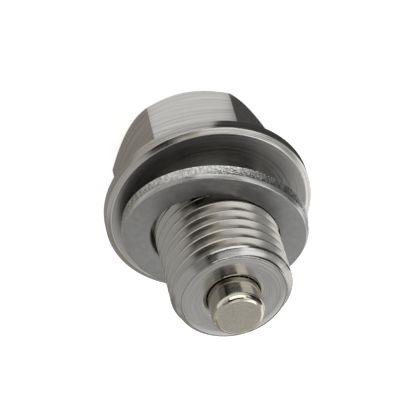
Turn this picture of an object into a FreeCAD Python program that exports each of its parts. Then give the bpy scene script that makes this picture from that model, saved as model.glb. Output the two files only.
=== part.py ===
"""Magnetic oil drain plug: a turned and milled screw, its bonded magnet and its loose sealing washer.

Millimetres. The plug stands on the end of its hexagon head, with its axis on +Z and the
origin in the middle of that end. Two flats of the hexagon face -Y and +Y.
"""
import FreeCAD, Part
import math
import os

Vector = FreeCAD.Vector
UP = Vector(0, 0, 1)

# Hexagon head
hex_across_flats = 17.0
hex_height = 10.0
hex_end_d = 16.8
hex_end_bevel_deg = 50.0

# Flange, whose upper face seals on the washer
flange_d = 24.2
flange_thickness = 1.7
flange_rim_bevel_in = 0.65
flange_rim_bevel_down = 0.3
flange_back_bevel = 0.15

# Threaded shank, from the flange's sealing face to the nose
thread_major_d = 13.8
thread_pitch = 1.5
thread_angle_deg = 60.0
thread_start_deg = 150.0
shank_length = 14.7
neck_length = 1.2
neck_undercut = 0.1
nose_undercut = 0.05
nose_ring_width = 0.85
nose_ring_fall = 0.12

# Bore in the nose, and the magnet bonded into it
magnet_d = 6.0
magnet_length = 10.0
magnet_stands_out = 3.1
magnet_edge_r = 0.6
bond_gap = 0.12
bore_mouth_bevel = 0.4
drill_point_deg = 118.0

# Sealing washer, cocked on the thread
washer_play = 0.46
washer_ring_width = 3.35
washer_thickness = 1.75
washer_front_bevel = 0.38
washer_back_bevel = 0.1
washer_bore_bevel = 0.1
washer_lean_azimuth_deg = 39.5
touch_gap = 0.03

# Places along the axis
flange_back_z = hex_height
seal_face_z = flange_back_z + flange_thickness
nose_z = seal_face_z + shank_length

# The basic profile of a metric thread: height of the sharp triangle, cut short at both ends
thread_half_angle = math.radians(thread_angle_deg / 2)
sharp_height = thread_pitch / (2 * math.tan(thread_half_angle))
thread_depth = 5 / 8 * sharp_height
root_flat = thread_pitch / 4
thread_major_r = thread_major_d / 2
thread_root_r = thread_major_r - thread_depth
neck_r = thread_root_r - neck_undercut
nose_edge_r = thread_root_r - nose_undercut

# What follows from the sizes above
bore_r = magnet_d / 2 + bond_gap
bore_depth = magnet_length - magnet_stands_out
washer_bore_r = thread_major_r + washer_play
washer_r = washer_bore_r + washer_ring_width


def turned(corners):
    """Solid of revolution about the axis.

    Args:
        corners: outline as (radius, height) pairs, in order round the section.

    Returns:
        The closed solid.
    """
    outline = Part.makePolygon([Vector(r, 0, z) for r, z in corners + corners[:1]])
    return Part.Face(outline).revolve(Vector(0, 0, 0), UP, 360)


def hexagon_head():
    """Hexagon prism whose corners are turned off by a cone at the free end."""
    corner_r = hex_across_flats / 2 / math.cos(math.pi / 6)
    corners = [
        Vector(corner_r * math.cos(k * math.pi / 3), corner_r * math.sin(k * math.pi / 3), 0)
        for k in range(7)
    ]
    prism = Part.Face(Part.makePolygon(corners)).extrude(UP * hex_height)
    end_r = hex_end_d / 2
    blank_r = corner_r + 1.0
    bevel_height = (blank_r - end_r) * math.tan(math.radians(hex_end_bevel_deg))
    blank = turned([
        (0, 0),
        (end_r, 0),
        (blank_r, bevel_height),
        (blank_r, hex_height),
        (0, hex_height),
    ])
    return prism.common(blank)


def flange_and_shank():
    """Turned flange, relief neck, shank and nose, with the magnet's blind bore."""
    flange_r = flange_d / 2
    neck_slope = thread_major_r - neck_r
    nose_bevel = thread_major_r - nose_edge_r
    nose_edge_z = nose_z - nose_ring_fall
    bore_floor_z = nose_z - bore_depth
    drill_tip_z = bore_floor_z - bore_r / math.tan(math.radians(drill_point_deg / 2))
    return turned([
        (0, flange_back_z),
        (flange_r - flange_back_bevel, flange_back_z),
        (flange_r, flange_back_z + flange_back_bevel),
        (flange_r, seal_face_z - flange_rim_bevel_down),
        (flange_r - flange_rim_bevel_in, seal_face_z),
        (neck_r, seal_face_z),
        (neck_r, seal_face_z + neck_length),
        (thread_major_r, seal_face_z + neck_length + neck_slope),
        (thread_major_r, nose_edge_z - nose_bevel),
        (nose_edge_r, nose_edge_z),
        (nose_edge_r - nose_ring_width, nose_z),
        (bore_r + bore_mouth_bevel, nose_z),
        (bore_r, nose_z - bore_mouth_bevel),
        (bore_r, bore_floor_z),
        (0, drill_tip_z),
    ])


def thread_groove():
    """Right-handed helical groove, from inside the relief neck out past the nose."""
    over_crest = 0.08
    outer_r = thread_major_r + over_crest
    inner_half = root_flat / 2
    outer_half = inner_half + (outer_r - thread_root_r) * math.tan(thread_half_angle)
    section = Part.makePolygon([
        Vector(thread_root_r, 0, -inner_half),
        Vector(outer_r, 0, -outer_half),
        Vector(outer_r, 0, outer_half),
        Vector(thread_root_r, 0, inner_half),
        Vector(thread_root_r, 0, -inner_half),
    ])
    rise = shank_length - neck_length + 2 * thread_pitch
    helix = Part.makeHelix(thread_pitch, rise, thread_major_r)
    groove = Part.Wire(helix.Edges).makePipeShell([section], True, True)
    groove.rotate(Vector(0, 0, 0), UP, thread_start_deg)
    groove.translate(UP * (seal_face_z + neck_length / 2))
    return groove


def plug_body():
    """Head, flange and threaded shank, made from one bar."""
    body = flange_and_shank().cut(thread_groove()).fuse(hexagon_head())
    return body.removeSplitter()


def magnet():
    """Round bar magnet, seated on the floor of the bore and standing out of the nose."""
    bar = Part.makeCylinder(magnet_d / 2, magnet_length, Vector(0, 0, nose_z - bore_depth))
    rims = [edge for edge in bar.Edges if isinstance(edge.Curve, Part.Circle)]
    return bar.makeFillet(magnet_edge_r, rims)


def washer_tilt_deg():
    """Angle at which the edges of the tilted washer's bore reach the thread's crests.

    Returns:
        The tilt in degrees, the touch gap being left at each side.
    """
    half_thickness = washer_thickness / 2
    reach = math.hypot(washer_bore_r, half_thickness)
    edge_angle = math.atan2(half_thickness, washer_bore_r)
    return math.degrees(math.acos((thread_major_r + touch_gap) / reach) - edge_angle)


def sealing_washer():
    """Flat ring that leans until its bore meets the crests, low side on the flange."""
    tilt = math.radians(washer_tilt_deg())
    half = washer_thickness / 2
    ring = turned([
        (washer_bore_r + washer_bore_bevel, -half),
        (washer_r - washer_back_bevel, -half),
        (washer_r, washer_back_bevel - half),
        (washer_r, half - washer_front_bevel),
        (washer_r - washer_front_bevel, half),
        (washer_bore_r + washer_bore_bevel, half),
        (washer_bore_r, half - washer_bore_bevel),
        (washer_bore_r, washer_bore_bevel - half),
    ])
    ring.rotate(Vector(0, 0, 0), Vector(0, 1, 0), math.degrees(tilt))
    ring.rotate(Vector(0, 0, 0), UP, washer_lean_azimuth_deg)
    drop = (washer_r - washer_back_bevel) * math.sin(tilt) + half * math.cos(tilt)
    ring.translate(UP * (seal_face_z + touch_gap + drop))
    return ring


def main():
    """Build every piece and write one STEP file for each."""
    os.makedirs("parts", exist_ok=True)
    pieces = {
        "plug_body": plug_body(),
        "magnet": magnet(),
        "sealing_washer": sealing_washer(),
    }
    for name, shape in pieces.items():
        shape.exportStep(f"parts/{name}.step")
        box = shape.BoundBox
        print(f"{name}: {len(shape.Solids)} solid, {shape.Volume:.1f} mm3, z {box.ZMin:.2f} to {box.ZMax:.2f}")
    print(f"washer tilt {washer_tilt_deg():.2f} degrees")


main()
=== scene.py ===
"""Looks of a magnetic oil drain plug, built round its CAD frame.

Metres, in the frame of the CAD model: the plug stands on the end of its hexagon head, its axis
is +Z, and two flats of the hexagon face -Y and +Y. Sizes are written in millimetres and
multiplied by MM. Every new piece is a grid of points worked out with numpy.
"""

import logging
import math
from dataclasses import dataclass, field
from enum import Enum
from typing import Any, Sequence

import bpy
import numpy as np
from mathutils import Matrix, Vector


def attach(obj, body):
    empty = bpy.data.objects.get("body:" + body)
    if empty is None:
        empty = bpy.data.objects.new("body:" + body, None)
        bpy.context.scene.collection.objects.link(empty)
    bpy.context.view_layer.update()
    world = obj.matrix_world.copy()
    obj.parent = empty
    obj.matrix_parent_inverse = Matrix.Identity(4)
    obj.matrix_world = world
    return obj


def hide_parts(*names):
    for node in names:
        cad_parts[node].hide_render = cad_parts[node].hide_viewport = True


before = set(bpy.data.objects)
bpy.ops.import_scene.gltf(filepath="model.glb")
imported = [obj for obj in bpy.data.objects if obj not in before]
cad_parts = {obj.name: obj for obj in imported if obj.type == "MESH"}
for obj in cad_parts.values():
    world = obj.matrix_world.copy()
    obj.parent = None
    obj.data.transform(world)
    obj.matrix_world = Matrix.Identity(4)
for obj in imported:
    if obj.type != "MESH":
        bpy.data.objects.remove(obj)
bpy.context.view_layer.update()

MM = 0.001
DEGREE = math.radians(1.0)
BODY = "root"
LOG = logging.getLogger("drain_plug")

Socket = bpy.types.NodeSocket
Tree = bpy.types.NodeTree
Span = tuple[float, float]

# Every piece's UV map holds the turn times a typical radius, and the length along the profile,
# both divided by UV_SIZE metres
UV_NAME = "run"
UV_SIZE = 0.05
TYPICAL_RADIUS_MM = 9.0

# Points that are nearer than this, in metres, are one
WELD_TICK = 1e-8

# An edge whose faces meet at more than this is hard
SHARP_DEG = 28.0

# A rounded corner takes at most this share of the shorter side beside it
LONGEST_TOUCH = 0.45

# The parts of a noise texture's range that drive colour and roughness
COLOUR_SPAN = (0.35, 0.65)
ROUGH_SPAN = (0.3, 0.7)

# A quarter turn, by which the lines spread a highlight across their run
STRETCH_TURN = 0.25


class Zone(Enum):
    """Places on the plug that were machined in different ways, in the order of their slots."""

    FLATS = 0
    TURNED = 1
    SEAL_FACE = 2
    THREAD = 3
    CREST = 4
    NOSE = 5


class MagnetZone(Enum):
    """Places on the magnet, in the order of their slots."""

    SIDE = 0
    END = 1


class WasherZone(Enum):
    """Places on the sealing washer, in the order of their slots."""

    FACE = 0
    RIM = 1
    BEVEL = 2


# Colour and node helpers


def linear(hex_code: str) -> tuple[float, float, float, float]:
    """Turn an sRGB colour into the linear values that shaders take.

    Args:
        hex_code: six hex digits, with or without a leading "#".

    Returns:
        Linear red, green and blue, and an alpha of 1.
    """
    digits = hex_code.lstrip("#")
    parts = [int(digits[start:start + 2], 16) / 255 for start in (0, 2, 4)]
    # The curve of the sRGB standard
    red, green, blue = [c / 12.92 if c <= 0.04045 else ((c + 0.055) / 1.055) ** 2.4
                        for c in parts]
    return red, green, blue, 1.0


def add_node(tree: Tree, kind: str, inputs: dict[Any, Any] | None = None,
             **settings: Any) -> bpy.types.NodeOutputs:
    """Add one node, with its settings, values and links.

    Args:
        tree: the tree that gets the node.
        kind: the node's type without the leading "ShaderNode".
        inputs: value, or output socket to link, for each input name or number.
        settings: attributes of the node.

    Returns:
        The new node's outputs.
    """
    node = tree.nodes.new("ShaderNode" + kind)
    for name, value in settings.items():
        setattr(node, name, value)
    for key, value in (inputs or {}).items():
        if isinstance(value, Socket):
            tree.links.new(value, node.inputs[key])
        else:
            node.inputs[key].default_value = value
    return node.outputs


def calculate(tree: Tree, operation: str, *values: Any) -> Socket:
    """Add a Math node with these numbers or sockets, and give its result."""
    return add_node(tree, "Math", dict(enumerate(values)), operation=operation)[0]


def mix(tree: Tree, share: Any, first: Any, second: Any) -> Socket:
    """Mix two colours; the share is the second one's."""
    return add_node(tree, "MixRGB", {"Fac": share, "Color1": first, "Color2": second})[0]


def map_range(tree: Tree, value: Socket, span: Span, result: Span = (0.0, 1.0),
              step: str = "LINEAR") -> Socket:
    """Map a value from one span to another, and hold it at both ends.

    Args:
        tree: the tree that gets the node.
        value: what is mapped.
        span: values that give the two ends of the result.
        result: the result's first and last value.
        step: how it goes from one to the other.

    Returns:
        The result.
    """
    ends = dict(zip(("From Min", "From Max", "To Min", "To Max"), (*span, *result)))
    return add_node(tree, "MapRange", {"Value": value, **ends}, interpolation_type=step)[0]


def fade_out(tree: Tree, value: Socket, start: float, end: float) -> Socket:
    """Fall softly from 1, where the value is at the start, to 0, where it is at the end."""
    return map_range(tree, value, (start, end), (1.0, 0.0), "SMOOTHSTEP")


# Finishes


@dataclass(frozen=True)
class Streaks:
    """Fine lines left by a tool, longer than they are wide.

    Attributes:
        length_mm: how far one line runs before it fades.
        width_mm: width of one line across its run.
    """

    length_mm: float
    width_mm: float


@dataclass(frozen=True)
class PaintedWasherShade:
    """Painted shade on the thread, in the groove that the washer shades.

    Attributes:
        azimuth_deg: bearing of its middle.
        half_width_deg: half its spread round the axis.
        edge_deg: width of its soft ends.
        pitch_mm: rise of the thread's turn, which its upper edge follows.
        height_mm: height of that edge, carried along the thread to a bearing of 0.
        edge_mm: width of that edge.
        colour: sRGB colour of the painted shade.
    """

    azimuth_deg: float
    half_width_deg: float
    edge_deg: float
    pitch_mm: float
    height_mm: float
    edge_mm: float
    colour: str

    def over(self, tree: Tree, spot: Socket, unshaded: Socket) -> Socket:
        """Paint shade over a colour, by the bearing and by the height less the thread's rise.

        Args:
            tree: the material's tree.
            spot: Object coordinates.
            unshaded: colour of the metal without the painted shade.

        Returns:
            The colour with the painted shade.
        """
        x, y, z = add_node(tree, "SeparateXYZ", {0: spot})
        bearing = calculate(tree, "ARCTAN2", y, x)
        off = calculate(tree, "SUBTRACT", bearing, math.radians(self.azimuth_deg))
        round_cover = fade_out(tree, calculate(tree, "ABSOLUTE", off),
                               math.radians(self.half_width_deg - self.edge_deg / 2),
                               math.radians(self.half_width_deg + self.edge_deg / 2))
        rise = calculate(tree, "MULTIPLY_ADD", bearing, -self.pitch_mm * MM / (2 * math.pi), z)
        low_cover = fade_out(tree, rise, (self.height_mm - self.edge_mm) * MM,
                             self.height_mm * MM)
        cover = calculate(tree, "MULTIPLY", round_cover, low_cover)
        return mix(tree, cover, unshaded, linear(self.colour))


@dataclass(frozen=True)
class MachinedMetal:
    """Bare metal with the lines of the tool that cut it.

    The lines run round the axis, as a lathe and a side-on cutter both leave them. They vary
    the colour and the roughness a little and stand up as a very low bump.

    Attributes:
        name: the material's common name and how its surface was made.
        light: sRGB colour of the metal.
        dark: sRGB colour in the bottoms of the lines.
        roughness: mean roughness.
        swing: how far the lines move the roughness each way.
        anisotropy: how much the lines stretch a highlight.
        streaks: size of the lines.
        bump_mm: height of the lines.
        grain_mm: size of the fine mottling under the lines.
        grain_bump_mm: height of the mottling.
        mottle: how far the mottling darkens the colour, from 0 to 1.
        painted_washer_shade: painted shade beside the washer, if it has one.
    """

    name: str
    light: str
    dark: str
    roughness: float
    swing: float
    anisotropy: float
    streaks: Streaks
    bump_mm: float
    grain_mm: float
    grain_bump_mm: float
    mottle: float = 0.0
    painted_washer_shade: PaintedWasherShade | None = None

    def material(self) -> bpy.types.Material:
        """Build the material's nodes.

        Returns:
            The new material.
        """
        material = bpy.data.materials.new(self.name)
        material.use_nodes = True
        tree = material.node_tree
        tree.nodes.clear()
        spot = add_node(tree, "TexCoord")["Object"]
        line_vector = self._line_vector(tree, spot)
        lines = add_node(tree, "TexNoise", {"Vector": line_vector, "Scale": 1.0, "Detail": 3.0,
                                            "Roughness": 0.6})["Fac"]
        grain = add_node(tree, "TexNoise", {"Vector": spot, "Scale": 1 / (self.grain_mm * MM),
                                            "Detail": 2.0, "Roughness": 0.55})["Fac"]
        shade = map_range(tree, lines, COLOUR_SPAN)
        colour = mix(tree, shade, linear(self.dark), linear(self.light))
        if self.mottle:
            fleck = map_range(tree, grain, COLOUR_SPAN, (1 - self.mottle, 1.0))
            colour = add_node(tree, "VectorMath", {0: colour, "Scale": fleck},
                              operation="SCALE")[0]
        # Painted shade on the thread beside the washer
        if self.painted_washer_shade:
            colour = self.painted_washer_shade.over(tree, spot, colour)
        rough = map_range(tree, lines, ROUGH_SPAN,
                          (self.roughness - self.swing, self.roughness + self.swing))
        low_bump = add_node(tree, "Bump", {"Height": grain, "Distance": self.grain_bump_mm * MM,
                                           "Strength": 1.0})[0]
        bump = add_node(tree, "Bump", {"Height": lines, "Distance": self.bump_mm * MM,
                                       "Strength": 1.0, "Normal": low_bump})[0]
        tangent = add_node(tree, "Tangent", direction_type="UV_MAP", uv_map=UV_NAME)[0]
        shader = add_node(tree, "BsdfPrincipled", {
            "Base Color": colour, "Metallic": 1.0, "Roughness": rough, "Normal": bump,
            "Anisotropic": self.anisotropy, "Anisotropic Rotation": STRETCH_TURN,
            "Tangent": tangent,
        })[0]
        add_node(tree, "OutputMaterial", {"Surface": shader})
        return material

    def _line_vector(self, tree: Tree, spot: Socket) -> Socket:
        """Coordinates that change slowly round the axis and fast across the lines.

        Args:
            tree: the material's tree.
            spot: Object coordinates.

        Returns:
            The unit radial direction times a small scale in X and Y, and the distance along
            the profile, from the second UV coordinate, in line widths in Z.
        """
        flat = add_node(tree, "VectorMath", {0: spot, 1: (1.0, 1.0, 0.0)},
                        operation="MULTIPLY")[0]
        radial = add_node(tree, "VectorMath", {0: flat}, operation="NORMALIZE")[0]
        slow = TYPICAL_RADIUS_MM / self.streaks.length_mm
        along = add_node(tree, "VectorMath", {0: radial, "Scale": slow},
                         operation="SCALE")[0]
        run = add_node(tree, "UVMap", uv_map=UV_NAME)[0]
        run_v = add_node(tree, "SeparateXYZ", {0: run})["Y"]
        across = calculate(tree, "MULTIPLY", run_v, UV_SIZE / (self.streaks.width_mm * MM))
        lift = add_node(tree, "CombineXYZ", {"Z": across})[0]
        return add_node(tree, "VectorMath", {0: along, 1: lift}, operation="ADD")[0]


# Stainless steel, in the order of Zone
STEEL = (
    # Milled: a side cutter leaves soft level lines across each flat
    MachinedMetal(
        "stainless_steel_milled", light="#CBC9C6", dark="#ADABA7",
        roughness=0.34, swing=0.04, anisotropy=0.7, streaks=Streaks(12.0, 0.2),
        bump_mm=0.0008, grain_mm=0.25, grain_bump_mm=0.0004),
    # Turned: fine rings that spread a reflection across their run
    MachinedMetal(
        "stainless_steel_turned", light="#CCCAC6", dark="#A8A5A0",
        roughness=0.17, swing=0.05, anisotropy=0.78, streaks=Streaks(7.0, 0.13),
        bump_mm=0.0022, grain_mm=0.2, grain_bump_mm=0.0003),
    # Faced: the sealing face, under the washer, is darker, partly as painted shade from the
    # washer, with closer rings
    MachinedMetal(
        "stainless_steel_faced", light="#BEBCB9", dark="#A09E9B",
        roughness=0.31, swing=0.06, anisotropy=0.7, streaks=Streaks(25.0, 0.10),
        bump_mm=0.0006, grain_mm=0.2, grain_bump_mm=0.0002),
    # Thread cut by a die: smooth drawn flanks with a warm oily tint
    MachinedMetal(
        "stainless_steel_threaded", light="#B6B4AF", dark="#A6A39D",
        roughness=0.20, swing=0.04, anisotropy=0.6, streaks=Streaks(8.0, 0.14),
        bump_mm=0.0008, grain_mm=0.3, grain_bump_mm=0.0002,
        # Painted shade in the groove beside the washer
        painted_washer_shade=PaintedWasherShade(azimuth_deg=-112.0, half_width_deg=44.0, edge_deg=10.0, pitch_mm=1.5,
                        height_mm=18.15, edge_mm=0.25, colour="#38342B")),
    # Crest left by the turned bar, and the sealing face's edge: a lighter colour, a painted
    # highlight that draws a bright line
    MachinedMetal(
        "stainless_steel_crest", light="#D8D6D1", dark="#CBC9C4",
        roughness=0.28, swing=0.03, anisotropy=0.5, streaks=Streaks(5.0, 0.1),
        bump_mm=0.0004, grain_mm=0.3, grain_bump_mm=0.0002),
    # Nose faced and bevelled: satin, with soft rings
    MachinedMetal(
        "stainless_steel_nose", light="#C0BFBC", dark="#B0AFAC",
        roughness=0.18, swing=0.04, anisotropy=0.5, streaks=Streaks(8.0, 0.2),
        bump_mm=0.0008, grain_mm=0.2, grain_bump_mm=0.0003),
)

# Nickel plate, in the order of MagnetZone
NICKEL = (
    # Tumbled side and edge: bright and slightly yellow
    MachinedMetal(
        "nickel_plate_side", light="#CDC7B9", dark="#C2BCAE",
        roughness=0.08, swing=0.02, anisotropy=0.0, streaks=Streaks(4.0, 0.3),
        bump_mm=0.0003, grain_mm=0.2, grain_bump_mm=0.0003),
    # Ground end: the same plate over a fine grain
    MachinedMetal(
        "nickel_plate_end", light="#B9B5A8", dark="#B1ADA0",
        roughness=0.36, swing=0.03, anisotropy=0.0, streaks=Streaks(2.0, 0.4),
        bump_mm=0.0003, grain_mm=0.17, grain_bump_mm=0.006, mottle=0.16),
)

# Aluminium, in the order of WasherZone
ALUMINIUM = (
    # Stamped and tumbled: matt and even, with a fine grain
    MachinedMetal(
        "aluminium_tumbled", light="#B0B0B0", dark="#A3A3A3",
        roughness=0.50, swing=0.05, anisotropy=0.0, streaks=Streaks(1.1, 0.9),
        bump_mm=0.003, grain_mm=0.2, grain_bump_mm=0.004, mottle=0.12),
    # Sheared rim: torn grain that catches the light in specks
    MachinedMetal(
        "aluminium_sheared_rim", light="#F4F4F2", dark="#B8B8B6",
        roughness=0.30, swing=0.08, anisotropy=0.0, streaks=Streaks(0.2, 0.7),
        bump_mm=0.016, grain_mm=0.12, grain_bump_mm=0.030, mottle=0.4),
    # Cut bevel: a bright clean line round the front
    MachinedMetal(
        "aluminium_cut_bevel", light="#CCCCCA", dark="#AEAEAC",
        roughness=0.26, swing=0.06, anisotropy=0.3, streaks=Streaks(3.0, 0.2),
        bump_mm=0.0008, grain_mm=0.15, grain_bump_mm=0.001),
)


# Grids and meshes


def round_corners(corners: np.ndarray, radii: Sequence[float], steps: int) -> np.ndarray:
    """Round the inner corners of a profile with arcs.

    At each corner the arc touches both sides at radius / tan(half the corner's angle) from it,
    or nearer where a side is short. Its points are spread evenly between the two touching
    normals, turned about the arc's centre.

    Args:
        corners: (..., corners, 2) points; the leading axes are separate profiles.
        radii: a radius for each corner; 0 leaves it sharp, as the first and last always are.
        steps: number of spans in each arc.

    Returns:
        (..., rows, 2) points.
    """
    rows = [corners[..., :1, :]]
    for index in range(1, corners.shape[-2] - 1):
        here = corners[..., index, :]
        if radii[index] == 0:
            rows.append(here[..., None, :])
            continue
        back = corners[..., index - 1, :] - here
        ahead = corners[..., index + 1, :] - here
        back_length = np.linalg.norm(back, axis=-1, keepdims=True)
        ahead_length = np.linalg.norm(ahead, axis=-1, keepdims=True)
        back, ahead = back / back_length, ahead / ahead_length
        half = np.arccos(np.clip((back * ahead).sum(-1, keepdims=True), -1, 1)) / 2
        longest = LONGEST_TOUCH * np.minimum(back_length, ahead_length)
        touch = np.minimum(radii[index] / np.tan(half), longest)
        radius = touch * np.tan(half)
        middle = (back + ahead) / np.linalg.norm(back + ahead, axis=-1, keepdims=True)
        centre = here + middle * radius / np.sin(half)
        first = here + back * touch - centre
        last = here + ahead * touch - centre
        sweep = (np.pi - 2 * half)[..., None, :]
        share = np.linspace(0, 1, steps + 1)[:, None]
        arc = (np.sin((1 - share) * sweep) * first[..., None, :]
               + np.sin(share * sweep) * last[..., None, :]) / np.sin(sweep)
        rows.append(centre[..., None, :] + arc)
    rows.append(corners[..., -1:, :])
    return np.concatenate(rows, axis=-2)


@dataclass
class Grid:
    """Part of a surface: rows of points along a profile, columns round the axis.

    Attributes:
        points: (rows, columns, 3), the last column lying on the first.
        zones: (rows - 1, columns - 1) slot number of each cell.
        turn: (columns,) angle of each column.
    """

    points: np.ndarray
    zones: np.ndarray
    turn: np.ndarray


def lathe(profile: np.ndarray, turn: np.ndarray, zones: Sequence[int] | int) -> Grid:
    """Carry a profile round the axis.

    Args:
        profile: (rows, 2) or (columns, rows, 2) of radius and height.
        turn: (columns,) angles, from 0 to a full turn.
        zones: slot number, or one for each gap between rows.

    Returns:
        The grid, each point at radius times the cosine and sine of its angle.
    """
    spread = np.broadcast_to(profile, (len(turn),) + profile.shape[-2:])
    radius, height = spread[..., 0].T, spread[..., 1].T
    points = np.stack([radius * np.cos(turn), radius * np.sin(turn), height], axis=-1)
    cells = np.zeros((len(points) - 1, len(turn) - 1), dtype=int) + np.reshape(zones, (-1, 1))
    return Grid(points, cells, turn)


def build_mesh(name: str, grids: Sequence[Grid],
               finishes: Sequence[MachinedMetal]) -> bpy.types.Object:
    """Join grids into one closed mesh.

    Points that lie on each other become one, which closes the seam, the poles and the joins.
    A cell that shrinks to a line is dropped, and one that shrinks to a triangle is kept as one.

    Args:
        name: the piece's name.
        grids: the grids, in order along the profile.
        finishes: the piece's slots, which the grids' zones number.

    Returns:
        The new object, at the origin.
    """
    points, cells, uvs, slots = [], [], [], []
    start, run = 0, 0.0
    for grid in grids:
        rows, columns = grid.points.shape[:2]
        step = np.linalg.norm(np.diff(grid.points, axis=0), axis=-1).mean(axis=1)
        along = run + np.concatenate([[0.0], np.cumsum(step)])
        run = along[-1]
        number = start + np.arange(rows * columns).reshape(rows, columns)
        cell = np.stack([number[:-1, :-1], number[:-1, 1:], number[1:, 1:], number[1:, :-1]],
                        axis=-1)
        round_uv = np.broadcast_to(grid.turn * TYPICAL_RADIUS_MM * MM, (rows, columns))
        length_uv = np.broadcast_to(along[:, None], (rows, columns))
        uv = np.stack([round_uv, length_uv], axis=-1) / UV_SIZE
        corner_uv = np.stack([uv[:-1, :-1], uv[:-1, 1:], uv[1:, 1:], uv[1:, :-1]], axis=2)
        points.append(grid.points.reshape(-1, 3))
        cells.append(cell.reshape(-1, 4))
        uvs.append(corner_uv.reshape(-1, 4, 2))
        slots.append(grid.zones.ravel())
        start += rows * columns
    merged, cell_index = weld(np.concatenate(points), np.concatenate(cells))
    kept = cell_index != np.roll(cell_index, -1, axis=1)
    uv_all, slot_all = np.concatenate(uvs), np.concatenate(slots)
    faces, face_uvs, face_slots = [], [], []
    for size in (4, 3):
        chosen = kept.sum(axis=1) == size
        mask = kept[chosen]
        faces += cell_index[chosen][mask].reshape(-1, size).tolist()
        face_uvs.append(uv_all[chosen][mask])
        face_slots.append(slot_all[chosen])
    mesh = bpy.data.meshes.new(name)
    mesh.from_pydata(merged.tolist(), [], faces)
    mesh.uv_layers.new(name=UV_NAME).data.foreach_set("uv", np.concatenate(face_uvs).ravel())
    for finish in finishes:
        mesh.materials.append(finish.material())
    mesh.polygons.foreach_set("material_index", np.concatenate(face_slots).astype(np.int32))
    mesh.polygons.foreach_set("use_smooth", np.ones(len(mesh.polygons), dtype=bool))
    mesh.set_sharp_from_angle(angle=math.radians(SHARP_DEG))
    mesh.update()
    piece = bpy.data.objects.new(name, mesh)
    bpy.context.scene.collection.objects.link(piece)
    normals = piece.modifiers.new("face_weighted_normals", "WEIGHTED_NORMAL")
    normals.keep_sharp = True
    return piece


def weld(points: np.ndarray, cells: np.ndarray) -> tuple[np.ndarray, np.ndarray]:
    """Give points that lie on each other one number.

    Args:
        points: (points, 3).
        cells: (cells, 4) numbers of points.

    Returns:
        The distinct points, and the cells numbered by them.
    """
    keys = np.round(points / WELD_TICK).astype(np.int64)
    _, first, index = np.unique(keys, axis=0, return_index=True, return_inverse=True)
    return points[first], index.ravel()[cells]


# Sub-assemblies


@dataclass
class Thread:
    """External metric thread, as a helix round the shank.

    Attributes:
        major_r: radius over the crests.
        pitch: rise of one turn.
        flank_deg: angle between a flank and the plane across the axis.
        start_deg: where the groove crosses the height of the neck's middle.
        crest_round: radius of the crest's edges.
        root_round: radius in the root.
        nose_band: height under the surface's top that is finished as the nose.
        arc_steps: spans in each rounded edge of the tooth.
    """

    major_r: float = 6.9 * MM
    pitch: float = 1.5 * MM
    flank_deg: float = 30.0
    start_deg: float = 150.0
    crest_round: float = 0.06 * MM
    root_round: float = 0.3 * MM
    nose_band: float = 0.12 * MM
    arc_steps: int = 5

    @property
    def root_r(self) -> float:
        """Radius of the root: 5/8 of the sharp triangle's height under the crest."""
        return self.major_r - 5 / 8 * self.pitch / (2 * math.tan(math.radians(self.flank_deg)))

    def grid(self, turn: np.ndarray, envelope: np.ndarray, groove_z: float) -> Grid:
        """Threaded surface between the envelope's two ends.

        Rows follow the helix: a point's height is its row's height plus the pitch times its
        share of a turn. The radius is the thread's profile at the row, cut off by the
        envelope at the point's own height. Points past an end are brought back to it, and on
        a crest the row nearest to a corner of the envelope is moved on to that corner.

        Args:
            turn: (columns,) angles.
            envelope: (corners, 2) heights and radii of its corners, from bottom to top.
            groove_z: height of the groove's middle at the start angle.

        Returns:
            The grid.
        """
        depth = self.major_r - self.root_r
        half_root = self.pitch / 8
        half_foot = half_root + depth * math.tan(math.radians(self.flank_deg))
        tooth = np.array([
            [-half_root / 2, self.root_r],
            [half_root, self.root_r],
            [half_foot, self.major_r],
            [self.pitch - half_foot, self.major_r],
            [self.pitch - half_root, self.root_r],
            [self.pitch - half_root / 2, self.root_r],
        ])
        radii = [0, self.root_round, self.crest_round, self.crest_round, self.root_round, 0]
        one = round_corners(tooth, radii, self.arc_steps)[:-1]
        bottom, top = envelope[0, 0], envelope[-1, 0]
        base = groove_z - self.pitch * self.start_deg / 360
        first_turn = math.floor((bottom - base) / self.pitch) - 1
        turns = np.arange(first_turn, math.ceil((top - base) / self.pitch) + 1)
        row_z = (base + turns[:, None] * self.pitch + one[None, :, 0]).ravel()
        row_r = np.tile(one[:, 1], len(turns))
        height = np.clip(row_z[:, None] + self.pitch * turn / (2 * np.pi), bottom, top)
        slack = self.crest_round / 4
        for corner_z, corner_r in envelope[1:-1]:
            nearest = np.abs(height - corner_z).argmin(axis=0)
            on_crest = np.flatnonzero(row_r[nearest] > corner_r - slack)
            height[nearest[on_crest], on_crest] = corner_z
        limit = np.interp(height, envelope[:, 0], envelope[:, 1])
        radius = np.minimum(row_r[:, None], limit)
        points = np.stack([radius * np.cos(turn), radius * np.sin(turn), height], axis=-1)
        rows = (row_r[1:] + row_r[:-1])[:, None] / 2
        # The crests take the lighter colour of a painted highlight
        crest = rows > self.major_r - self.crest_round
        zones = np.where(crest, Zone.CREST.value, Zone.THREAD.value)
        turned_off = (limit[1:, 1:] < rows) & (height[1:, 1:] > (bottom + top) / 2)
        cut = turned_off | (height[1:, 1:] > top - self.nose_band)
        return Grid(points, np.where(cut, Zone.NOSE.value, zones), turn)


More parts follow.
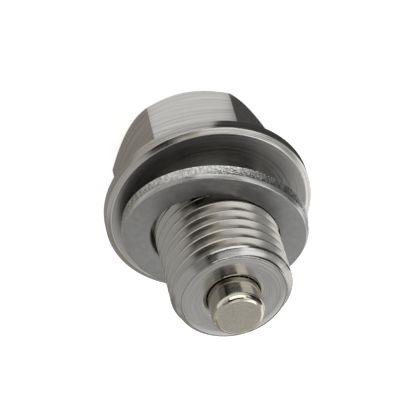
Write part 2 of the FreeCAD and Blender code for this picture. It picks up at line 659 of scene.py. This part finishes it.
@dataclass
class PlugBody:
    """Hexagon head, flange, threaded shank and nose, made from one bar of stainless steel.

    Attributes:
        hex_end_r: radius of the head's end, inside the bevel that turns off the corners.
        flange_foot: width of the flange's back that is made with the head.
        face_inset: from the rim's bevel to where the sealing face's own grid starts.
        neck_undercut: how far the neck lies under the thread's root.
        nose_undercut: how far the nose's edge lies under that root.
        nose_ring_width: width of the sloping ring at the nose's edge.
        nose_ring_fall: how far its outer edge lies under the nose's highest point.
        nose_dome: rise of the nose's end face from the ring to the bore.
        brow_below: part of the steep facet at the end of the crests, under the nose's bevel.
        brow_above: part of the same facet that is cut into that bevel.
        nose_line_inset: from the nose's edge to the turned line in the ring.
        head_steps: spans in a rounded edge of the head and at the neck's foot.
        edge_steps: spans in the other rounded edges.
        columns_a_side: columns in a sixth of a turn.
    """

    across_flats: float = 17.0 * MM
    hex_height: float = 10.0 * MM
    hex_end_r: float = 8.4 * MM
    hex_end_bevel_deg: float = 50.0
    hex_end_round: float = 0.1 * MM
    hex_corner_round: float = 0.12 * MM
    flange_r: float = 12.1 * MM
    flange_thickness: float = 1.7 * MM
    rim_bevel_in: float = 0.65 * MM
    rim_bevel_down: float = 0.3 * MM
    back_bevel: float = 0.15 * MM
    flange_foot: float = 1.0 * MM
    face_inset: float = 0.25 * MM
    shank_length: float = 14.7 * MM
    neck_length: float = 1.2 * MM
    neck_undercut: float = 0.1 * MM
    nose_undercut: float = 0.05 * MM
    nose_ring_width: float = 0.85 * MM
    nose_ring_fall: float = 0.12 * MM
    nose_dome: float = 0.05 * MM
    brow_below: float = 0.06 * MM
    brow_above: float = 0.14 * MM
    nose_line_inset: float = 0.05 * MM
    nose_line_width: float = 0.12 * MM
    nose_line_depth: float = 0.14 * MM
    nose_line_round: float = 0.02 * MM
    nose_edge_round: float = 0.04 * MM
    nose_ring_round: float = 0.1 * MM
    bore_r: float = 3.09 * MM
    bore_depth: float = 6.9 * MM
    bore_mouth_bevel: float = 0.4 * MM
    bore_mouth_depth: float = 0.28 * MM
    bore_mouth_round: float = 0.4 * MM
    drill_point_deg: float = 118.0
    edge_round: float = 0.08 * MM
    head_steps: int = 3
    edge_steps: int = 4
    columns_a_side: int = 40
    thread: Thread = field(default_factory=Thread)

    @property
    def seal_z(self) -> float:
        """Height of the flange's sealing face."""
        return self.hex_height + self.flange_thickness

    @property
    def nose_z(self) -> float:
        """Height of the nose's end face."""
        return self.seal_z + self.shank_length

    def columns(self) -> np.ndarray:
        """Angles of the columns, closer together at the hexagon's corners.

        Returns:
            (columns,) angles from 0 to a full turn.
        """
        near = np.radians([-1.8, -0.8, -0.4, 0.0, 0.4, 0.8, 1.8])
        count = self.columns_a_side - len(near) + 2
        between = np.linspace(near[-1], np.pi / 3 + near[0], count)[1:-1]
        side = np.concatenate([near[3:], between, near[:3] + np.pi / 3])
        whole = (side + np.arange(6)[:, None] * np.pi / 3).ravel()
        return np.concatenate([whole, [2 * np.pi]])

    def hexagon_radius(self, turn: np.ndarray) -> np.ndarray:
        """Radius of the hexagon with rounded corners, which are at 0, 60 and so on degrees.

        A flat is at half the width over the cosine of the angle from its middle. A corner is
        an arc about a point on the corner's own radius, from which both flats are one
        rounding away.

        Args:
            turn: (columns,) angles.

        Returns:
            (columns,) radii.
        """
        apothem, corner = self.across_flats / 2, self.hex_corner_round
        off_corner = np.abs((turn + np.pi / 6) % (np.pi / 3) - np.pi / 6)
        flat = apothem / np.cos(np.pi / 6 - off_corner)
        centre = (apothem - corner) / math.cos(math.pi / 6)
        touch = math.atan2(corner / 2, centre + corner * math.cos(math.pi / 6))
        reach = np.sqrt(np.maximum(corner ** 2 - (centre * np.sin(off_corner)) ** 2, 0))
        return np.where(off_corner < touch, centre * np.cos(off_corner) + reach, flat)

    def head_and_flange(self, turn: np.ndarray) -> list[Grid]:
        """Surface from the middle of the head's end to the foot of the neck.

        Args:
            turn: (columns,) angles.

        Returns:
            The grids of the head, the flange's rim and the sealing face.
        """
        around = self.hexagon_radius(turn)
        rise = (around - self.hex_end_r) * math.tan(math.radians(self.hex_end_bevel_deg))
        back_z, seal_z = self.hex_height, self.seal_z
        flange_r, neck_r = self.flange_r, self.thread.root_r - self.neck_undercut
        foot_r = flange_r - self.flange_foot
        edge, steps = self.edge_round, self.head_steps
        head = np.stack([np.stack(np.broadcast_arrays(r, z, turn)[:2], axis=-1) for r, z in (
            (0, 0),
            (self.hex_end_r, 0),
            (around, rise),
            (around, back_z - edge),
            (around + edge, back_z),
            (foot_r, back_z),
        )], axis=1)
        head_profile = round_corners(head, [0, self.hex_end_round, edge, 0, 0, 0], steps)
        mid_face = flange_r - self.rim_bevel_in - self.face_inset
        flange = np.array([
            [foot_r, back_z],
            [flange_r - self.back_bevel, back_z],
            [flange_r, back_z + self.back_bevel],
            [flange_r, seal_z - self.rim_bevel_down],
            [flange_r - self.rim_bevel_in, seal_z],
            [mid_face, seal_z],
        ])
        flange_radii = [0, edge / 2, edge / 2, edge, 4 * edge, 0]
        flange_profile = round_corners(flange, flange_radii, self.edge_steps)
        neck_z = seal_z + self.neck_length
        face = np.array([[mid_face, seal_z], [neck_r, seal_z], [neck_r, neck_z]])
        face_profile = round_corners(face, [0, 2 * edge, 0], steps)

        # The flats come after the end, its edge and the bevel; their upper edge is one of them
        flats = steps + 2
        head_zones = np.full(head_profile.shape[1] - 1, Zone.TURNED.value)
        head_zones[flats:flats + steps + 1] = Zone.FLATS.value

        # The flange's last spans are the edge of the sealing face, with the crest's painted
        # highlight, and a strip of that face
        flange_zones = np.full(len(flange_profile) - 1, Zone.TURNED.value)
        flange_zones[-1 - self.edge_steps:-1] = Zone.CREST.value
        flange_zones[-1] = Zone.SEAL_FACE.value
        return [
            lathe(head_profile, turn, head_zones),
            lathe(flange_profile, turn, flange_zones),
            lathe(face_profile, turn, Zone.SEAL_FACE.value),
        ]

    def shank(self, turn: np.ndarray) -> list[Grid]:
        """Thread, nose, and the bore with the drill's point at its end.

        Args:
            turn: (columns,) angles.

        Returns:
            The grids of the threaded surface and of the nose and bore.
        """
        thread, seal_z, nose_z = self.thread, self.seal_z, self.nose_z
        neck_r, nose_r = thread.root_r - self.neck_undercut, thread.root_r - self.nose_undercut
        nose_edge_z = nose_z - self.nose_ring_fall
        bottom = seal_z + self.neck_length

        # The threaded surface ends a little inside its own root, on the nose's bevel
        clear = thread.root_r - self.nose_undercut / 10
        top = nose_edge_z - (clear - nose_r)
        bevel_z = nose_edge_z - (thread.major_r - nose_r)
        envelope = np.array([
            [bottom, neck_r],
            [bottom + thread.major_r - neck_r, thread.major_r],
            [bevel_z - self.brow_below, thread.major_r],
            [bevel_z + self.brow_above, thread.major_r - self.brow_above],
            [top, clear],
        ])
        threaded = thread.grid(turn, envelope, seal_z + self.neck_length / 2)
        mouth_r = self.bore_r + self.bore_mouth_bevel
        floor_z = nose_z - self.bore_depth
        slope = (self.nose_ring_fall - self.nose_dome) / self.nose_ring_width
        line = nose_r - self.nose_line_inset - np.array([0.0, 0.5, 1.0]) * self.nose_line_width
        dip = np.array([0.0, 1.0, 0.0]) * self.nose_line_depth
        line_z = nose_edge_z + (nose_r - line) * slope - dip
        nose = np.array([
            [clear, top],
            [nose_r, nose_edge_z],
            *np.stack([line, line_z], axis=-1),
            [nose_r - self.nose_ring_width, nose_z - self.nose_dome],
            [mouth_r, nose_z],
            [self.bore_r, nose_z - self.bore_mouth_depth],
            [self.bore_r, floor_z],
            [0, floor_z - self.bore_r / math.tan(math.radians(self.drill_point_deg / 2))],
        ])
        radii = [0, self.nose_edge_round, *[self.nose_line_round] * len(line),
                 self.nose_ring_round, self.bore_mouth_round, self.edge_round, 0, 0]
        nose_profile = round_corners(nose, radii, self.edge_steps)
        return [threaded, lathe(nose_profile, turn, Zone.NOSE.value)]

    def build(self) -> bpy.types.Object:
        """Make the piece, which stands for the CAD body.

        Returns:
            The piece.
        """
        turn = self.columns()
        grids = self.head_and_flange(turn) + self.shank(turn)
        piece = build_mesh("plug_body_fine", grids, STEEL)
        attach(piece, BODY)
        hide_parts("plug_body")
        return piece


@dataclass
class Magnet:
    """Round bar magnet, nickel plated, standing out of the nose.

    Its upper edge is a steep shoulder, a 45 degree bevel and a shallow lip, rounded together.
    Each comes in towards the axis and down along it.
    """

    radius: float = 3.0 * MM
    length: float = 10.0 * MM
    foot_round: float = 0.4 * MM
    shoulder_in: float = 0.17 * MM
    shoulder_down: float = 0.385 * MM
    bevel: float = 0.14 * MM
    lip_in: float = 0.26 * MM
    lip_down: float = 0.105 * MM
    side_round: float = 0.8 * MM
    bevel_round: float = 0.2 * MM
    face_round: float = 0.4 * MM
    edge_steps: int = 8
    columns: int = 144

    def build(self, foot_z: float) -> bpy.types.Object:
        """Make the piece, which stands for the CAD magnet.

        Args:
            foot_z: height of the bore's floor, where the magnet is seated.

        Returns:
            The piece.
        """
        top_z = foot_z + self.length
        bevel_r, bevel_z = self.radius - self.shoulder_in, top_z - self.lip_down - self.bevel
        bar = np.array([
            [0, foot_z],
            [self.radius, foot_z],
            [self.radius, bevel_z - self.shoulder_down],
            [bevel_r, bevel_z],
            [bevel_r - self.bevel, top_z - self.lip_down],
            [bevel_r - self.bevel - self.lip_in, top_z],
            [0, top_z],
        ])
        radii = [0, self.foot_round, self.side_round, self.bevel_round, self.bevel_round,
                 self.face_round, 0]
        profile = round_corners(bar, radii, self.edge_steps)
        turn = np.linspace(0, 2 * np.pi, self.columns + 1)
        zones = np.full(len(profile) - 1, MagnetZone.SIDE.value)
        zones[-1] = MagnetZone.END.value
        piece = build_mesh("magnet_fine", [lathe(profile, turn, zones)], NICKEL)
        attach(piece, BODY)
        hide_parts("magnet")
        return piece


@dataclass
class SealingWasher:
    """Soft flat ring with a rough rim, cocked on the thread.

    Attributes:
        bevel_spans: spans of the front that have the bevel's finish.
        lean_azimuth_deg: bearing of the side that lies on the flange.
        touch_gap: gap left where the ring rests.
        rim_grain: depth of the rim's torn grain.
        rim_rows: spans across the rim.
    """

    bore_r: float = 7.36 * MM
    ring_width: float = 3.35 * MM
    thickness: float = 1.75 * MM
    front_bevel_in: float = 0.28 * MM
    front_bevel_down: float = 0.46 * MM
    back_bevel: float = 0.1 * MM
    bore_bevel: float = 0.1 * MM
    front_round: float = 0.16 * MM
    back_round: float = 0.05 * MM
    bore_round: float = 0.04 * MM
    back_steps: int = 3
    front_steps: int = 4
    bevel_spans: int = 3
    lean_azimuth_deg: float = 39.5
    touch_gap: float = 0.03 * MM
    rim_grain: float = 0.095 * MM
    columns: int = 900
    rim_rows: int = 12
    seed: int = 7

    @property
    def radius(self) -> float:
        """Outer radius."""
        return self.bore_r + self.ring_width

    def tilt(self, thread_r: float) -> float:
        """Angle at which the bore's edges reach the thread's crests.

        Args:
            thread_r: radius over the crests.

        Returns:
            The angle in radians at which an edge of the bore is a gap off the crests, less
            the angle at which that edge is seen from the ring's middle.
        """
        half = self.thickness / 2
        reach = math.hypot(self.bore_r, half)
        return math.acos((thread_r + self.touch_gap) / reach) - math.atan2(half, self.bore_r)

    def place(self, seal_z: float, thread_r: float) -> Matrix:
        """Turn and lift from the ring's own frame to its place on the plug.

        Args:
            seal_z: height of the flange's sealing face.
            thread_r: radius over the thread's crests.

        Returns:
            The matrix that tilts the ring, turns its low side to its bearing and lifts it.
        """
        tilt = self.tilt(thread_r)
        low_r, half = self.radius - self.back_bevel, self.thickness / 2
        lift = seal_z + self.touch_gap + low_r * math.sin(tilt) + half * math.cos(tilt)
        bearing = Matrix.Rotation(math.radians(self.lean_azimuth_deg), 4, "Z")
        return Matrix.Translation((0, 0, lift)) @ bearing @ Matrix.Rotation(tilt, 4, "Y")

    def build(self, seal_z: float, thread_r: float) -> bpy.types.Object:
        """Make the piece, which stands for the CAD washer.

        Args:
            seal_z: height of the flange's sealing face.
            thread_r: radius over the thread's crests.

        Returns:
            The piece.
        """
        half, outer = self.thickness / 2, self.radius
        rim_low, rim_high = self.back_bevel - half, half - self.front_bevel_down
        back = np.array([
            [self.bore_r, self.bore_bevel - half],
            [self.bore_r + self.bore_bevel, -half],
            [outer - self.back_bevel, -half],
            [outer, rim_low],
        ])
        rim_z = np.linspace(rim_low, rim_high, self.rim_rows + 1)
        rim = np.stack([np.full(self.rim_rows + 1, outer), rim_z], axis=-1)
        front = np.array([
            [outer, rim_high],
            [outer - self.front_bevel_in, half],
            [self.bore_r + self.bore_bevel, half],
            [self.bore_r, half - self.bore_bevel],
            [self.bore_r, self.bore_bevel - half],
        ])
        turn = np.linspace(0, 2 * np.pi, self.columns + 1)
        back_profile = round_corners(back, [0, self.bore_round, self.back_round, 0],
                                     self.back_steps)
        front_radii = [0, self.front_round, self.bore_round, self.bore_round, 0]
        front_profile = round_corners(front, front_radii, self.front_steps)
        front_zones = np.full(len(front_profile) - 1, WasherZone.FACE.value)
        front_zones[:self.bevel_spans] = WasherZone.BEVEL.value
        grids = [
            lathe(back_profile, turn, WasherZone.FACE.value),
            self._rough(lathe(rim, turn, WasherZone.RIM.value)),
            lathe(front_profile, turn, front_zones),
        ]
        matrix = np.array(self.place(seal_z, thread_r))
        for grid in grids:
            grid.points = grid.points @ matrix[:3, :3].T + matrix[:3, 3]
        piece = build_mesh("sealing_washer_fine", grids, ALUMINIUM)
        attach(piece, BODY)
        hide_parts("sealing_washer")
        return piece

    def _rough(self, grid: Grid) -> Grid:
        """Push the rim in by a random grain that fades out at its first and last row.

        Args:
            grid: the rim, in the ring's own frame.

        Returns:
            The same grid.
        """
        rows, columns = grid.points.shape[:2]
        grain = np.random.default_rng(self.seed).random((rows, columns - 1))
        grain = (grain + np.roll(grain, 1, axis=1)) / 2
        fade = np.sin(np.linspace(0, np.pi, rows))[:, None] ** 0.5
        push = np.concatenate([grain * fade, (grain * fade)[:, :1]], axis=1) * self.rim_grain
        grid.points[..., :2] *= (1 - push / self.radius)[..., None]
        return grid


# Studio


@dataclass(frozen=True)
class Card:
    """Soft-edged rectangle of light, bright or dark, that the metal sees.

    In the surroundings it is placed in degrees, by its bearing, 0 at +X and 90 at +Y, and its
    height above the horizon. On the floor it is placed in millimetres, along X and Y, and is
    painted shade that only mirrored rays see.

    Attributes:
        middle: where its middle is.
        half: half its size each way.
        edge: width of its soft edge.
        brightness: what it gives off, where 1 is white.
        tint: its sRGB colour.
    """

    middle: tuple[float, float]
    half: tuple[float, float]
    edge: float
    brightness: float
    tint: str = "#FFFFFF"

    def over(self, tree: Tree, place: Sequence[Socket], unit: float, below: Any) -> Socket:
        """Lay the card over what is below it.

        Args:
            tree: the tree that gets the nodes.
            place: bearing and height of the view, in radians, or X and Y, in metres.
            unit: DEGREE, with which the bearing goes round, or MM.
            below: light without the card, as a colour.

        Returns:
            Light with the card, as a colour.
        """
        cover: Any = 1.0
        for index, (here, middle, half) in enumerate(zip(place, self.middle, self.half)):
            offset = calculate(tree, "SUBTRACT", here, middle * unit)
            if unit == DEGREE and index == 0:
                offset = calculate(tree, "WRAP", offset, math.pi, -math.pi)
            size = calculate(tree, "ABSOLUTE", offset)
            reach, soft = half * unit, self.edge * unit
            part = fade_out(tree, size, reach - soft / 2, reach + soft / 2)
            cover = calculate(tree, "MULTIPLY", cover, part)
        red, green, blue, _ = [part * self.brightness for part in linear(self.tint)]
        return mix(tree, cover, below, (red, green, blue, 1.0))


@dataclass
class Studio:
    """Pale floor, plain surroundings and the camera.

    There are no lamps: cards in the surroundings light the metal, and sheets of painted shade on
    the floor darken what the metal mirrors. The camera looks down on the nose and is turned
    almost upside down about its own axis, so that the head is at the picture's upper left.

    Attributes:
        azimuth_deg: bearing of the camera, from -Y towards +X.
        elevation_deg: how far the camera looks down.
        roll_deg: turn of the camera about its own axis.
        floor_glow: what the floor adds to its own light where the camera sees it.
        air: light of the surroundings between the cards, where 1 is white.
        map_resolution: width of the map by which the surroundings are sampled.
        cards: parts of the surroundings; a later one lies over an earlier one.
        painted_floor_shades: darker cards painted on the floor, which only mirrored rays see:
            painted shade in the metal's reflections.
    """

    azimuth_deg: float = 7.47
    elevation_deg: float = 47.13
    roll_deg: float = -164.1
    distance: float = 253.8 * MM
    lens_mm: float = 190.4
    clip_start: float = 10 * MM
    aim_mm: tuple[float, float, float] = (0.095, -0.258, 11.452)
    floor_size: float = 4.0
    floor_colour: str = "#F4F4F2"
    floor_glow: float = 0.66
    air: float = 0.58
    map_resolution: int = 512
    cards: tuple[Card, ...] = (
        Card((90, 28), (44, 14), 10, 1.1),
        Card((100, 52), (34, 16), 6, 0.6),
        Card((95, 4), (34, 14), 8, 0.4),
        Card((-128, 66), (42, 26), 18, 1),
        Card((0, 90), (180, 10), 6, 0.95),
        Card((-152, 50), (24, 12), 8, 1.5),
        Card((168, 44), (12, 9), 8, 0.5),
        Card((138, 18), (22, 17), 8, 1.4),
        Card((-96, 6), (31, 28), 5, 1.9),
        Card((-94, 68), (14, 14), 12, 0.45, "#FFEFC8"),
        Card((-50, 46), (28, 14), 12, 0.28),
        Card((-56, 66), (33, 11), 10, 0.05, "#FFF0D0"),
        Card((-94, 53), (18, 6), 6, 0.9),
        Card((-59, 28), (4, 22), 4, 0.08),
        Card((-88, 43), (36, 6), 3, 0),
        Card((-20, 76), (19, 9), 5, 0),
        Card((-152, 14.5), (22, 19.5), 5, 0.06),
        Card((178, 11), (19, 16), 7, 0.12),
        Card((60, 22), (18, 18), 10, 0.38, "#FFF9F0"),
        Card((142, 62), (20, 11), 8, 2.2),
        Card((145, -2), (12, 3), 3, 0.02),
    )
    painted_floor_shades: tuple[Card, ...] = (
        Card((0, 260), (400, 200), 20, 0.45),
        Card((0, -22.5), (400, 6), 4, 0.72),
        Card((210, -15), (200, 8), 4, 0.62, "#FFFBF4"),
        Card((205, 138), (200, 150), 3, 0.38, "#FFF8ED"),
        Card((-37.6, -14), (32.1, 25), 2.6, 0.08),
        Card((-1100, -90), (1020, 200), 30, 0.03),
    )

    def build(self) -> None:
        """Make everything that isn't the plug."""
        bpy.context.scene.view_settings.view_transform = "Standard"
        self._camera()
        self._world()
        self._floor()

    def _camera(self) -> None:
        """Stand the camera back from the aim and roll it."""
        azimuth, elevation = math.radians(self.azimuth_deg), math.radians(self.elevation_deg)
        level = Vector((-math.sin(azimuth), math.cos(azimuth), 0)) * math.cos(elevation)
        forward = level - Vector((0, 0, math.sin(elevation)))
        right = forward.cross(Vector((0, 0, 1))).normalized()
        upright = Matrix((right, right.cross(forward), -forward)).transposed().to_4x4()
        data = bpy.data.cameras.new("camera")
        data.lens = self.lens_mm
        data.clip_start = self.clip_start
        camera = bpy.data.objects.new("camera", data)
        roll = Matrix.Rotation(math.radians(-self.roll_deg), 4, "Z")
        stand = Vector(self.aim_mm) * MM - forward * self.distance
        camera.matrix_world = Matrix.Translation(stand) @ upright @ roll
        bpy.context.scene.collection.objects.link(camera)
        bpy.context.scene.camera = camera

    def _world(self) -> None:
        """Grey surroundings with bright and dark cards."""
        world = bpy.data.worlds.new("studio_air")
        world.use_nodes = True
        tree = world.node_tree
        tree.nodes.clear()
        way = add_node(tree, "TexCoord")["Generated"]
        x, y, z = add_node(tree, "SeparateXYZ", {0: way})
        azimuth = calculate(tree, "ARCTAN2", y, x)
        elevation = calculate(tree, "ARCSINE", z)
        light: Any = (self.air, self.air, self.air, 1.0)
        for card in self.cards:
            light = card.over(tree, (azimuth, elevation), DEGREE, light)
        shader = add_node(tree, "Background", {"Color": light, "Strength": 1.0})
        add_node(tree, "OutputWorld", {"Surface": shader[0]})
        world.cycles.sampling_method = "MANUAL"
        world.cycles.sample_map_resolution = self.map_resolution
        bpy.context.scene.world = world

    def _floor(self) -> None:
        """Pale floor that takes the plug's shadow and stays white round it; mirrored rays see it
        glow white, under darker sheets of painted shade.
        """
        half = self.floor_size / 2
        mesh = bpy.data.meshes.new("floor")
        corners = [(-half, -half, 0), (half, -half, 0), (half, half, 0), (-half, half, 0)]
        mesh.from_pydata(corners, [], [(0, 1, 2, 3)])
        floor = bpy.data.objects.new("floor", mesh)
        bpy.context.scene.collection.objects.link(floor)
        material = bpy.data.materials.new("pale_paper_floor")
        material.use_nodes = True
        tree = material.node_tree
        tree.nodes.clear()
        place = add_node(tree, "NewGeometry")["Position"]
        x, y, _ = add_node(tree, "SeparateXYZ", {0: place})
        mirrored_floor_shade: Any = (1.0, 1.0, 1.0, 1.0)
        # Painted shade: darker sheets on the floor, which only mirrored rays see
        for sheet in self.painted_floor_shades:
            mirrored_floor_shade = sheet.over(tree, (x, y), MM, mirrored_floor_shade)
        diffuse = add_node(tree, "BsdfDiffuse", {"Color": linear(self.floor_colour)})[0]
        path = add_node(tree, "LightPath")
        glow = calculate(tree, "MULTIPLY", path["Is Camera Ray"], self.floor_glow)
        seen = add_node(tree, "Emission", {"Color": (1, 1, 1, 1), "Strength": glow})[0]
        seen = add_node(tree, "AddShader", {0: diffuse, 1: seen})[0]
        mirrored = add_node(tree, "Emission", {"Color": mirrored_floor_shade, "Strength": 1.0})[0]
        bounce = calculate(tree, "MAXIMUM", path["Is Glossy Ray"], path["Is Transmission Ray"])
        both = add_node(tree, "MixShader", {0: bounce, 1: seen, 2: mirrored})[0]
        add_node(tree, "OutputMaterial", {"Surface": both})
        mesh.materials.append(material)


def main() -> None:
    """Build the studio and every piece, and report them."""
    logging.basicConfig(level=logging.INFO, format="%(name)s: %(message)s")
    Studio().build()
    body = PlugBody()
    pieces = [
        body.build(),
        Magnet().build(body.nose_z - body.bore_depth),
        SealingWasher().build(body.seal_z, body.thread.major_r),
    ]
    for piece in pieces:
        mesh = piece.data
        LOG.info("%s: %d vertices, %d faces", piece.name, len(mesh.vertices), len(mesh.polygons))


if __name__ == "__main__":
    main()
